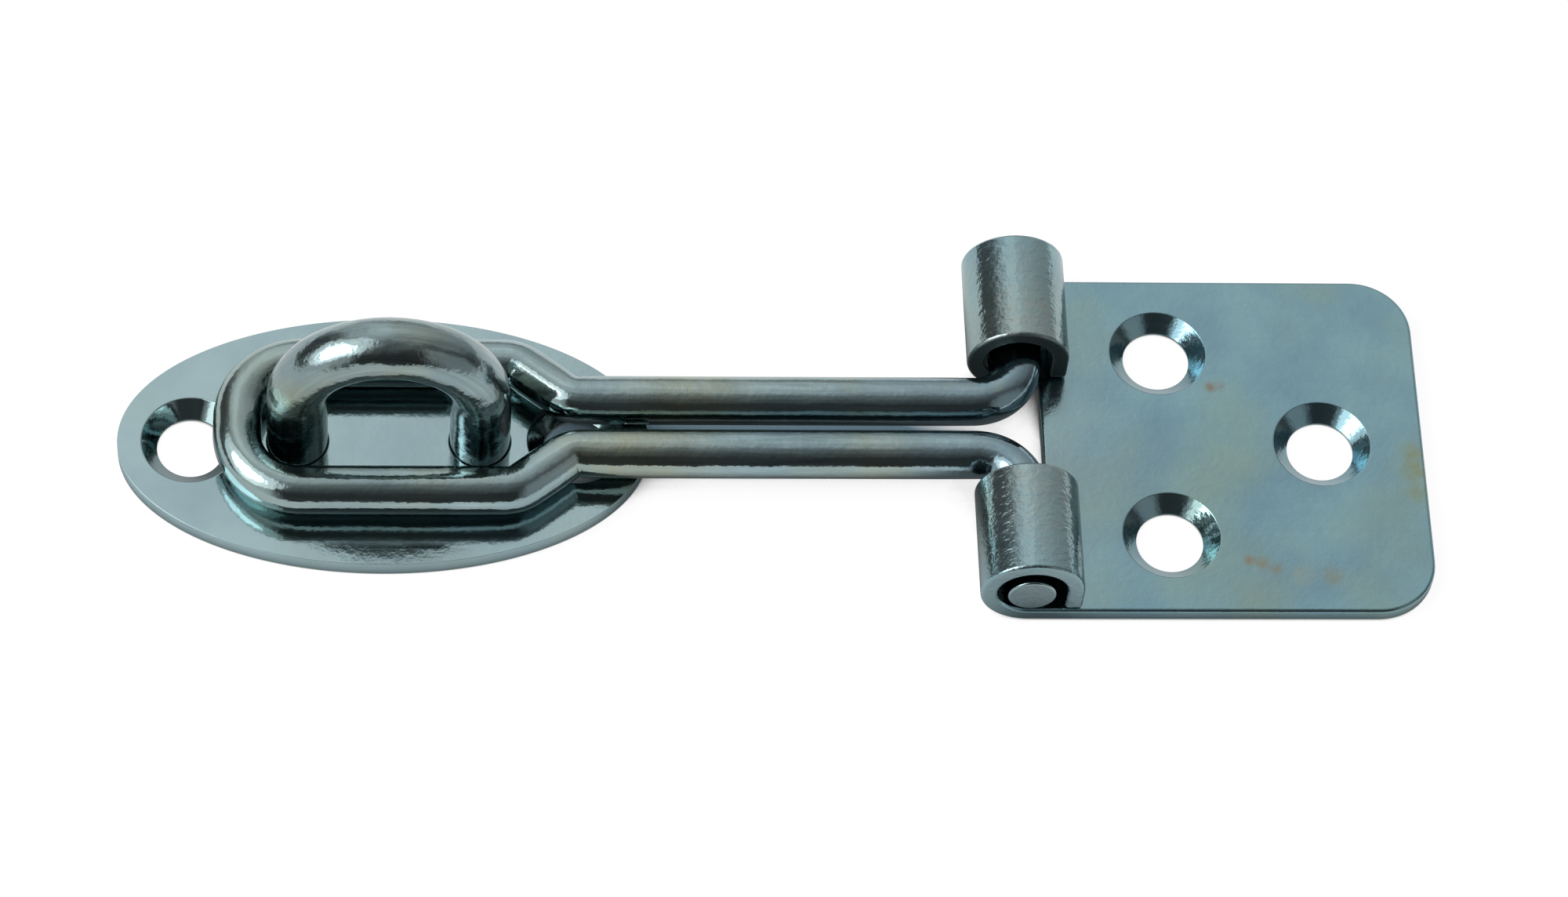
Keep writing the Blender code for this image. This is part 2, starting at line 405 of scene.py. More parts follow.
def sheet_shell(edges: list[tuple[Outline, Rim]], cross_lines: list[tuple[int, int]]) -> Shell:
    """A flat sheet with any outlines, in stock coordinates of (x, y, height over the back).

    The rim of outline i at row j lies at the outline's point, moved into the metal by the rim's
    inset and lifted to its height. Both faces are planar triangulations of the region between the
    rims' first rows and between their last rows.

    Args:
        edges: the outer outline first, then the holes, each with its rim.
        cross_lines: pairs of points of the outer outline that a triangle edge must join.

    Returns:
        The shell, still flat.
    """
    places, normals, sheared, quads, starts = [], [], [], [], []
    base = 0
    for outline, rim in edges:
        rows, count = len(rim.inset), len(outline.points)
        grid = np.empty((rows, count, 3))
        grid[..., :2] = outline.points - rim.inset[:, None, None] * outline.away
        grid[..., 2] = rim.height[:, None]
        normal = np.empty_like(grid)
        normal[..., :2] = rim.normal[:, :1, None] * outline.away
        normal[..., 2] = rim.normal[:, 1:]
        number = base + np.arange(rows * count).reshape(rows, count)
        quads.append(ring_quads(number))
        places.append(grid.reshape(-1, 3))
        normals.append(normal.reshape(-1, 3))
        wall = rim.sheared * np.clip(rim.normal[:, :1], 0.0, 1.0) ** 2
        sheared.append((wall * outline.dull_and_shade).ravel())
        starts.append((number[0], number[-1]))
        base += rows * count
    places, normals, sheared = (np.concatenate(part) for part in (places, normals, sheared))
    tris = []
    for side in (0, 1):
        rings = [start[side] for start in starts]
        numbers = np.concatenate(rings)
        flat = places[numbers, :2]
        offsets = np.cumsum([0] + [len(ring) for ring in rings[:-1]])
        borders = [
            (int(offset + i), int(offset + (i + 1) % len(ring)))
            for offset, ring in zip(offsets, rings)
            for i in range(len(ring))
        ]
        lines, inside_only, merging = borders + cross_lines, 1, 1e-9
        found = delaunay_2d_cdt([Vector(p) for p in flat], lines, [], inside_only, merging)
        if len(found[0]) != len(flat):
            raise ValueError("a sheet's outlines touch")
        triangles = np.array(found[2])
        middle = flat[triangles].mean(axis=1)
        keep = np.ones(len(triangles), bool)
        for outline, rim in edges[1:]:
            centre = outline.points.mean(axis=0)
            hole = np.hypot(*(outline.points[0] - centre)) + rim.inset[-side]
            keep &= np.hypot(*(middle - centre).T) > HOLE_SHARE * hole
        tris.append(numbers[triangles[keep]])
    faces = np.concatenate(quads), np.concatenate(tris)
    shell = Shell(places, normals, places.copy(), sheared, *faces)
    shell.face_outwards()
    return shell


def wire_shell(
    line: Array,
    headings: Array,
    radii: Array,
    radius: float,
    to_space: Callable[[Array], Array],
    flattening: float,
    sides: int = 72,
) -> Shell:
    """A round wire bent along a plane line.

    Point (u, v) is the line at u, plus radius times cos v across the line in its plane, plus radius
    times sin v square to the plane. In a bend the section gets thinner across the line by the
    flattening times the wire's radius over the bend's, and thicker square to it by a share of that.

    Args:
        line: (n, 2), the wire's middle line in its own plane.
        headings: (n,) angles of the line.
        radii: (n,) radius of the wire along it.
        radius: the stock wire's radius.
        to_space: takes (..., 3) places of (plane x, plane y, off the plane) to the CAD's frame.
        flattening: how much a bend flattens the section.
        sides: points round the wire.

    Returns:
        The shell, closed by a fan at each end.
    """
    along = lengths(line)
    least = 1e-6
    spacing = np.maximum(np.gradient(along), least)
    tightness = np.abs(np.gradient(np.unwrap(headings)) / spacing) * radius
    window = np.hanning(BEND_ROWS) / np.hanning(BEND_ROWS).sum()
    padded = np.pad(tightness, BEND_ROWS // 2, mode="edge")
    tightness = np.convolve(padded, window, mode="valid")
    around = np.linspace(0.0, TURN, sides, endpoint=False)
    across = np.stack([-np.sin(headings), np.cos(headings)], axis=1)
    thickening = 0.4 * flattening
    inward = radii * (1 - flattening * tightness)
    square = radii * (1 + thickening * tightness)
    grid = np.empty((len(line), sides, 3))
    grid[..., :2] = line[:, None] + (inward[:, None] * np.cos(around))[..., None] * across[:, None]
    grid[..., 2] = square[:, None] * np.sin(around)
    stock = np.empty_like(grid)
    stock[..., 0] = along[:, None]
    stock[..., 1] = radii[:, None] * np.cos(around)
    stock[..., 2] = radii[:, None] * np.sin(around)
    places = to_space(grid)
    forward = np.gradient(places, axis=0)
    sideways = np.roll(places, -1, axis=1) - np.roll(places, 1, axis=1)
    normals = np.cross(sideways, forward)
    middle = places.mean(axis=1, keepdims=True)
    if ((places - middle) * normals)[len(line) // 3].sum() < 0:
        normals = -normals
    normals /= np.linalg.norm(normals, axis=-1, keepdims=True)
    ends = np.stack([places[0] - places[1], places[-1] - places[-2]]).mean(axis=1)
    for row, end in ((0, ends[0]), (-1, ends[1])):
        normals[row] = end / np.linalg.norm(end)
    number = np.arange(len(line) * sides).reshape(len(line), sides)
    sheared = np.zeros(len(line) * sides + 2)
    sheared[[*number[0], *number[-1], -2, -1]] = 1.0
    poles = len(line) * sides + np.arange(2)
    fans = [
        np.stack([np.full(sides, pole), number[row], np.roll(number[row], -1)], axis=1)
        for pole, row in zip(poles, (0, -1))
    ]
    shell = Shell(
        np.concatenate([places.reshape(-1, 3), places[[0, -1]].mean(axis=1)]),
        np.concatenate([normals.reshape(-1, 3), normals[[0, -1], 0]]),
        np.concatenate([stock.reshape(-1, 3), stock[[0, -1]].mean(axis=1)]),
        sheared,
        ring_quads(number),
        np.concatenate(fans),
    )
    shell.face_outwards()
    return shell


def make_piece(
    name: str, shell: Shell, material: bpy.types.Material, body: Body, node: str
) -> bpy.types.Object:
    """Put a shell into the scene as a piece that stands for a CAD node.

    Args:
        name: the piece's name.
        shell: its surface, in the CAD's frame.
        material: its finish.
        body: the body that it rides on.
        node: the CAD node that it replaces.

    Returns:
        The new object.
    """
    mesh = bpy.data.meshes.new(name)
    mesh.from_pydata(shell.places.tolist(), [], shell.quads.tolist() + shell.tris.tolist())
    stock = mesh.attributes.new(STOCK, "FLOAT_VECTOR", "POINT")
    stock.data.foreach_set("vector", shell.stock.astype(np.float32).ravel())
    sheared = mesh.attributes.new(SHEARED, "FLOAT", "POINT")
    sheared.data.foreach_set("value", shell.sheared.astype(np.float32))
    mesh.polygons.foreach_set("use_smooth", np.ones(len(mesh.polygons), bool))
    mesh.normals_split_custom_set_from_vertices(shell.normals.tolist())
    mesh.materials.append(material)
    piece = bpy.data.objects.new(name, mesh)
    bpy.context.scene.collection.objects.link(piece)
    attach(piece, body.value)
    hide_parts(node)
    triangles = 2 * len(shell.quads) + len(shell.tris)
    log.info("%s: %d triangles, on %s", name, triangles, body.value)
    return piece


@dataclass(frozen=True)
class Stain:
    """A faint bloom on the zinc: its place in the stock, its reach, strength and colour."""

    place_mm: Place
    reach_mm: float
    strength: float
    colour: str = "8a6a43"


@dataclass(frozen=True)
class ZincPlate:
    """Bright electroplated zinc with a blue passivation.

    To the eye it is a cool, blue-green grey metal with a soft mirror in it. The plating is cloudy
    over some millimetres, the stock's own rolling or drawing marks show through along it, a warm
    tint stays where the bath dried, and the cut edges are duller. Their colour also carries painted
    shade, deepest in the leaf's notch, and on the oval plate's rim it is painted lighter instead.
    """

    name: str
    bright: str
    cloudy: str
    warm: str
    polish: float = 0.2  # roughness where the plating is brightest
    haze: float = 0.1  # more roughness where it is cloudy
    rub: float = 0.03  # more or less of it along the marks
    cloud_mm: float = 9.0
    cloud_span: Pair = (0.35, 0.68)  # of the noise, from clear to cloudy
    warm_mm: float = 14.0
    warm_span: Pair = (0.48, 0.72)
    warm_share: float = 0.35
    mark_length_mm: float = 24.0
    mark_width_mm: float = 0.35  # real marks are finer than the render can show
    mark_span: Pair = (0.3, 0.7)
    mark_depth_mm: float = 0.004
    mark_contrast: float = 0.07
    grain_mm: float = 0.5
    grain_depth_mm: float = 0.004
    bent_grain: float = 1.0  # how many times deeper the grain is before x = 0 of the stock
    bend_fade_mm: float = 2.0
    wave_mm: float = 7.0
    wave_depth_mm: float = 0.02
    grit_mm: float = 1.1  # breaks up the stains
    noise_roughness: float = 0.55
    # colour on cut edges: duller, with painted shade; above 1 it paints light on them
    sheared_dull_shade_and_light: float = 0.62
    sheared_haze: float = 0.2
    stains: tuple[Stain, ...] = field(default_factory=tuple)

    def _noise(self, tree: Tree, place: Socket, size_mm: float, detail: float) -> Socket:
        """Noise with features of a given size.

        Args:
            tree: the material's nodes.
            place: the place in the stock, in millimetres.
            size_mm: the size of a feature.
            detail: how many finer layers it has.

        Returns:
            The socket with the noise, about 0.5 in the middle.
        """
        inputs = {"Vector": place, "Scale": 1.0 / size_mm, "Detail": detail}
        inputs["Roughness"] = self.noise_roughness
        return add_node(tree, "TexNoise", {"noise_dimensions": "3D"}, inputs).outputs["Fac"]

    def _stained(self, tree: Tree, place: Socket, colour: Socket) -> Socket:
        """The colour with each stain mixed in, broken up by the grit noise.

        Args:
            tree: the material's nodes.
            place: the place in the stock, in millimetres.
            colour: the plain metal's colour.

        Returns:
            The socket with the stained colour.
        """
        grit = self._noise(tree, place, self.grit_mm, detail=4.0)
        for stain in self.stains:
            pair = {0: place, 1: stain.place_mm}
            away = add_node(tree, "VectorMath", {"operation": "DISTANCE"}, pair).outputs["Value"]
            reach, strength = (0.0, stain.reach_mm), (stain.strength, 0.0)
            fade = map_range(tree, away, reach, strength, "SMOOTHSTEP")
            share = math_node(tree, "MULTIPLY", fade, grit)
            colour = mix_colours(tree, share, colour, srgb(stain.colour))
        return colour

    def material(self) -> bpy.types.Material:
        """Build the finish as nodes.

        Returns:
            A material that reads the piece's stock and sheared attributes.
        """
        material = bpy.data.materials.new(self.name)
        material.use_nodes = True
        tree = material.node_tree
        shader = tree.nodes["Principled BSDF"]
        stock = add_node(tree, "Attribute", {"attribute_name": STOCK}).outputs["Vector"]
        sheared = add_node(tree, "Attribute", {"attribute_name": SHEARED}).outputs["Fac"]
        place = scaled(tree, stock, MM)
        drawn = {"Vector": place, "Scale": (self.mark_width_mm / self.mark_length_mm, 1.0, 1.0)}
        lengthwise = add_node(tree, "Mapping", {}, drawn).outputs["Vector"]

        cloud = self._noise(tree, place, self.cloud_mm, detail=3.0)
        cloud = map_range(tree, cloud, self.cloud_span)
        warmth = self._noise(tree, place, self.warm_mm, detail=4.0)
        warmth = map_range(tree, warmth, self.warm_span, (0.0, self.warm_share))
        marks = self._noise(tree, lengthwise, self.mark_width_mm, detail=2.0)
        wave = self._noise(tree, place, self.wave_mm, detail=0.0)
        grain = self._noise(tree, place, self.grain_mm, detail=2.0)
        along = add_node(tree, "SeparateXYZ", {}, {0: place}).outputs["X"]
        deeper = map_range(tree, along, (-self.bend_fade_mm, 0.0), (self.bent_grain, 1.0))
        grain = math_node(tree, "MULTIPLY", grain, deeper)

        metal = mix_colours(tree, cloud, srgb(self.bright), srgb(self.cloudy))
        metal = mix_colours(tree, warmth, metal, srgb(self.warm))
        contrast = (1 - self.mark_contrast, 1 + self.mark_contrast)
        metal = scaled(tree, metal, map_range(tree, marks, self.mark_span, contrast))
        metal = self._stained(tree, place, metal)
        # cut edges: duller colour with painted shade, deepest in the notch, or painted light above
        # 1
        shades = (1.0, 1 - NOTCH_SHADE * (1 - self.sheared_dull_shade_and_light))
        metal = scaled(tree, metal, map_range(tree, sheared, (0.0, NOTCH_SHADE), shades))
        tree.links.new(metal, shader.inputs["Base Color"])

        rough = map_range(tree, cloud, (0.0, 1.0), (self.polish, self.polish + self.haze))
        rubbed = map_range(tree, marks, self.mark_span, (-self.rub, self.rub))
        dulled = math_node(tree, "MULTIPLY", sheared, self.sheared_haze)
        for more in (rubbed, dulled):
            rough = math_node(tree, "ADD", rough, more)
        tree.links.new(rough, shader.inputs["Roughness"])
        shader.inputs["Metallic"].default_value = 1.0

        normal = None
        for height, depth_mm in (
            (wave, self.wave_depth_mm),
            (marks, self.mark_depth_mm),
            (grain, self.grain_depth_mm),
        ):
            inputs = {"Height": height, "Strength": 1.0, "Distance": depth_mm / MM}
            if normal:
                inputs["Normal"] = normal
            normal = add_node(tree, "Bump", {}, inputs).outputs["Normal"]
        tree.links.new(normal, shader.inputs["Normal"])
        return material


@dataclass(frozen=True)
class Sheet:
    """The zinc plated steel sheet that both plates are cut from."""

    thickness: float = 0.0018
    overlap: float = 0.0003  # how much of the face round a hole its rim holds
    sink_edge: float = 0.00025
    sink_foot: float = 0.00006
    drilled_edge: float = 0.00012
    seat_edge: float = 0.00015
    flare_edge: float = 0.0001

    def cut_edge(self, radius: float) -> Rim:
        """A sheared edge, rounded alike at the front and the back.

        Args:
            radius: of the rounding.

        Returns:
            The rim, with insets counted from the outline.
        """
        flat = radius * 1.2  # room for the rounding
        corners = [(flat, self.thickness), (0, self.thickness), (0, 0), (flat, 0)]
        return Rim.through(corners, [radius, radius], 1.0)

    def countersink(self, hole: float, sink: float, shine: float = 0.0) -> Rim:
        """A screw hole's wall: down a 90 degree cone, then straight to the back.

        Args:
            hole: the hole's radius.
            sink: the cone's radius at the front.
            shine: how much smoother than the sheet the tool left the wall.

        Returns:
            The rim, with insets counted from the hole's radius.
        """
        depth = sink - hole
        top = self.thickness
        face, back = (depth + self.overlap, top), (self.overlap, 0)
        corners = [face, (depth, top), (0, top - depth), (0, 0), back]
        return Rim.through(corners, [self.sink_edge, self.sink_foot, self.drilled_edge], -shine)

    def rivet_seat(self, flare: float, depth: float) -> Rim:
        """A staple hole's wall: straight from the front, then spreading to the back.

        Args:
            flare: how much wider the hole is at the back.
            depth: how far from the back it starts to spread.

        Returns:
            The rim, with insets counted from the hole's radius at the front.
        """
        top = self.thickness
        face, back = (self.overlap, top), (flare + self.overlap, 0)
        corners = [face, (0, top), (0, depth), (flare, 0), back]
        return Rim.through(corners, [self.seat_edge, self.flare_edge, self.flare_edge])


@dataclass(frozen=True)
class HingePlate:
    """The leaf: a flat blank with a notch, rolled at one end into two knuckles.

    The roll is three quarters of a turn, then runs straight down to the sheet's own face.
    """

    sheet: Sheet
    finish: ZincPlate
    axis_x: float = -0.02225
    width: float = 0.0400
    reach: float = 0.0421
    corner: float = 0.0061
    notch_width: float = 0.0152
    notch_edge: float = 0.0024
    bore: float = 0.0035
    seat_gap: float = 0.0003
    hole: float = 0.00345
    sink: float = 0.00505
    hole_places: tuple[Pair, ...] = (
        (0.0151, 0.0110),
        (0.0151, -0.0110),
        (0.0315, 0.0),
    )
    small_corner: float = 0.0006
    notch_corner: float = 0.0006
    edge: float = 0.0004
    cone_shine: float = 0.9
    roll_count: int = 150
    side_count: int = 20
    corner_count: int = 16
    edge_count: int = 12
    notch_count: int = 10

    @property
    def knuckle(self) -> float:
        """Outer radius of the knuckles."""
        return self.bore + self.sheet.thickness

    @property
    def neutral(self) -> float:
        """Radius of the rolled sheet's middle."""
        return self.bore + self.sheet.thickness / 2

    @property
    def bent_length(self) -> float:
        """Length of the blank that three quarters of a turn take up."""
        return self.neutral * 0.75 * TURN

    @property
    def rolled_length(self) -> float:
        """Length of the bend and of the straight foot, which ends just over the front face."""
        return self.bent_length + self.knuckle - self.sheet.thickness - self.seat_gap

    def blank(self) -> tuple[Outline, list[tuple[int, int]]]:
        """The blank's outline, with lines across each knuckle strip.

        The strips' two long sides have the same places along the blank, so that a line square to
        the strip joins each pair, and the strip bends without a twist.

        Returns:
            The outline, counter-clockwise, and the pairs of its points.
        """
        side, notch = self.width / 2, self.notch_width / 2
        small, inner, round_end = self.small_corner, self.notch_corner, self.reach - self.corner
        rolled = np.linspace(-self.rolled_length + small, 0.0, self.roll_count)
        quarter = math.pi / 2

        def straight(along: Array, y: float, away: float) -> Stretch:
            """A stretch along the blank."""
            return (
                np.stack([along, np.full_like(along, y)], axis=1),
                np.stack([np.zeros_like(along), np.full_like(along, away)], axis=1),
            )

        def across(x: float, low: float, high: float, count: int, away: float) -> Stretch:
            """A stretch across the blank, without its ends."""
            y = np.linspace(low, high, count)[1:-1]
            return np.stack([np.full_like(y, x), y], axis=1), np.tile([away, 0.0], (len(y), 1))

        def corner(
            x: float, y: float, radius: float, start: float, bend: Bend, kept: slice
        ) -> Stretch:
            """A quarter turn of an arc."""
            end = start + quarter * bend.value
            points, radial = arc_points((x, y), radius, start, end, self.corner_count)
            return points[kept], radial[kept] * bend.value

        whole, low_edge, edge = slice(None), notch + small, self.notch_edge
        sides = np.linspace(round_end, 0.0, self.side_count)[1:-1]
        half = [
            corner(round_end, side - self.corner, self.corner, 0.0, Bend.BULGING, whole),
            straight(sides, side, 1.0),
            straight(rolled[::-1], side, 1.0),
            corner(rolled[0], side - small, small, quarter, Bend.BULGING, slice(1, None)),
            across(-self.rolled_length, side - small, low_edge, self.edge_count, -1.0),
            corner(rolled[0], low_edge, small, math.pi, Bend.BULGING, slice(0, -1)),
            straight(rolled, notch, -1.0),
            corner(edge - inner, notch - inner, inner, quarter, Bend.HOLLOW, whole),
        ]
        mirror = (1, -1)
        lower = [(points[::-1] * mirror, away[::-1] * mirror) for points, away in reversed(half)]
        notch_end = across(edge, notch - inner, inner - notch, self.notch_count, -1.0)
        straight_end = side - self.corner
        free_end = across(self.reach, -straight_end, straight_end, self.edge_count, 1.0)
        parts = [*half, notch_end, *lower, free_end]
        counts = np.cumsum([0] + [len(part[0]) for part in parts])
        last = self.roll_count - 1
        outer_part, notch_part = 2, 6  # the strip's two long sides, in half
        mirrored = 2 * len(half)
        strips = (outer_part, notch_part), (mirrored - outer_part, mirrored - notch_part)
        pairs = []
        for strip in strips:
            first, second = (int(counts[part]) for part in strip)
            pairs += [(first + k, second + last - k) for k in range(self.roll_count)]
        outline = Outline.joined(parts)
        close = 1e-6
        in_notch = (np.abs(outline.points[:, 1]) < notch + close) & (outline.points[:, 0] < 0)
        # painted shade: the notch's walls are darkened most
        outline.dull_and_shade[in_notch] = NOTCH_SHADE
        return outline, pairs

    def roll(self, shell: Shell) -> Shell:
        """Roll the flat shell's end.

        A point at s along the blank, y across it and t above its back goes to (axis + s, y, t)
        where s is positive. Elsewhere it turns by s over the neutral radius about the roll's
        middle line, at the knuckle's radius less t from it. Past the bend's end it goes straight
        on along the heading there.

        Args:
            shell: the flat blank.

        Returns:
            The rolled leaf, in the CAD's frame.
        """
        s, y, t = shell.stock.T
        angle = np.clip(-s, 0.0, self.bent_length) / self.neutral
        beyond = np.maximum(-s - self.bent_length, 0.0)
        out = self.knuckle - t
        x = self.axis_x + np.maximum(s, 0.0) - out * np.sin(angle) - beyond * np.cos(angle)
        z = self.knuckle - out * np.cos(angle) + beyond * np.sin(angle)
        along = np.stack([np.cos(angle), np.zeros_like(s), -np.sin(angle)], axis=1)
        lift = np.stack([np.sin(angle), np.zeros_like(s), np.cos(angle)], axis=1)
        sideways = np.array([0.0, 1.0, 0.0])
        flat = shell.normals
        normals = flat[:, :1] * along + flat[:, 1:2] * sideways + flat[:, 2:] * lift
        shell.places = np.stack([x, y, z], axis=1)
        shell.normals = normals
        shell.face_outwards()
        return shell

    def build(self) -> bpy.types.Object:
        """Cut the blank, roll it and dress it.

        Returns:
            The leaf's piece.
        """
        outline, cross_lines = self.blank()
        edges = [(outline, self.sheet.cut_edge(self.edge))]
        for place in self.hole_places:
            ring = Outline.circle(place, self.hole, HOLE_POINTS)
            edges.append((ring, self.sheet.countersink(self.hole, self.sink, self.cone_shine)))
        shell = self.roll(sheet_shell(edges, cross_lines))
        material = self.finish.material()
        return make_piece("rolled_leaf", shell, material, Body.MOUNTING, "hinge_plate")


@dataclass(frozen=True)
class StaplePlate:
    """The oval plate with its two screw holes and the two holes of the staple."""

    sheet: Sheet
    finish: ZincPlate
    middle_x: float = -0.08755
    length: float = 0.0543
    width: float = 0.0294
    hole: float = 0.00345
    sink: float = 0.00505
    hole_reach: float = 0.0197
    staple_x: float = -0.08705
    staple_span: float = 0.0186
    staple_hole: float = 0.00312
    flare: float = 0.0008
    flare_depth: float = 0.0009
    edge: float = 0.00004
    count: int = 240

    def build(self) -> bpy.types.Object:
        """Cut the oval and dress it.

        The outline is the ellipse (a cos v, b sin v), whose normal is (cos v / a, sin v / b).

        Returns:
            The oval plate's piece.
        """
        v = np.linspace(0.0, TURN, self.count, endpoint=False)
        a, b = self.length / 2, self.width / 2
        away = np.stack([np.cos(v) / a, np.sin(v) / b], axis=1)
        away /= np.linalg.norm(away, axis=1, keepdims=True)
        oval = np.stack([self.middle_x + a * np.cos(v), b * np.sin(v)], axis=1)
        edges = [(Outline(oval, away, np.ones(len(v))), self.sheet.cut_edge(self.edge))]
        for side in (-1, 1):
            place = (self.middle_x + side * self.hole_reach, 0.0)
            ring = Outline.circle(place, self.hole, HOLE_POINTS)
            edges.append((ring, self.sheet.countersink(self.hole, self.sink)))
            place = (self.staple_x + side * self.staple_span / 2, 0.0)
            ring = Outline.circle(place, self.staple_hole, HOLE_POINTS)
            edges.append((ring, self.sheet.rivet_seat(self.flare, self.flare_depth)))
        shell = sheet_shell(edges, [])
        material = self.finish.material()
        return make_piece("oval_plate", shell, material, Body.MOUNTING, "staple_plate")


@dataclass(frozen=True)
class Staple:
    """The eye: an upright arch of round wire, riveted over behind the oval plate."""

    finish: ZincPlate
    middle_x: float = -0.08705
    span: float = 0.0186
    top: float = 0.0194
    radius: float = 0.0031
    rivet_flare: float = 0.0008
    rivet_depth: float = 0.0009
    rivet_edge: float = 0.0001
    rivet_curve: float = 0.8
    flattening: float = 0.08
    arc_count: int = 60
    step: float = 0.0003

    def build(self) -> bpy.types.Object:
        """Bend the wire, half a circle over two straight legs, spread its feet and dress it.

        Returns:
            The staple's piece.
        """
        leg = self.span / 2
        corners = np.array([(-leg, 0.0), (-leg, self.top), (leg, self.top), (leg, 0.0)])
        line, headings = rounded_line(corners, [leg, leg], [self.arc_count] * 2)
        line, headings = densified(line, headings, self.step)
        spread = np.clip(1 - line[:, 1] / self.rivet_depth, 0.0, 1.0) ** self.rivet_curve
        radii = self.radius + self.rivet_flare * spread
        wire = round_ends(line, headings, radii, self.rivet_edge)
        shell = wire_shell(*wire, self.radius, self.upright, self.flattening)
        material = self.finish.material()
        return make_piece("round_staple", shell, material, Body.MOUNTING, "staple")

    def upright(self, places: Array) -> Array:
        """Stand the wire's plane up in XZ, over the plate's middle line."""
        x, y, z = self.middle_x + places[..., 0], -places[..., 2], places[..., 1]
        return np.stack([x, y, z], axis=-1)


@dataclass(frozen=True)
class WireHasp:
    """The hasp: one wire, bent into two pins, two parallel legs and a loop."""

    finish: ZincPlate
    axis_x: float = -0.02225
    axis_z: float = 0.0046
    radius: float = 0.0025
    pin_end: float = 0.0199
    pin_chamfer: float = 0.00025
    leg: float = 0.0032
    shoulder: float = 0.0519
    neck: float = 0.0056
    loop_tip: float = 0.0802
    loop_half_width: float = 0.0076
    flare_radius: float = 0.0048
    neck_radius: float = 0.0032
    tip_radius: float = 0.0066
    bend_counts: tuple[int, ...] = (40, 20, 20, 48)
    flattening: float = 0.06
    step: float = 0.0004

    def build(self) -> bpy.types.Object:
        """Bend the wire along its plan and dress it.

        Returns:
            The hasp's piece.
        """
        half = [
            (0.0, self.pin_end),
            (0.0, self.leg),
            (self.neck - self.shoulder, self.leg),
            (-self.shoulder, self.loop_half_width),
            (-self.loop_tip, self.loop_half_width),
        ]
        radii = [self.flare_radius, self.neck_radius, self.neck_radius, self.tip_radius]
        counts = list(self.bend_counts)
        corners = np.array(half + [(x, -y) for x, y in reversed(half)])
        line, headings = rounded_line(corners, radii + radii[::-1], counts + counts[::-1])
        line, headings = densified(line, headings, self.step)
        wire = round_ends(line, headings, np.full(len(line), self.radius), self.pin_chamfer)
        shell = wire_shell(*wire, self.radius, self.laid, self.flattening)
        material = self.finish.material()
        return make_piece("bent_wire", shell, material, Body.HASP, "wire_hasp")

    def laid(self, places: Array) -> Array:
        """Lay the wire's plane level at the height of the pins."""
        return places + (self.axis_x, 0.0, self.axis_z)


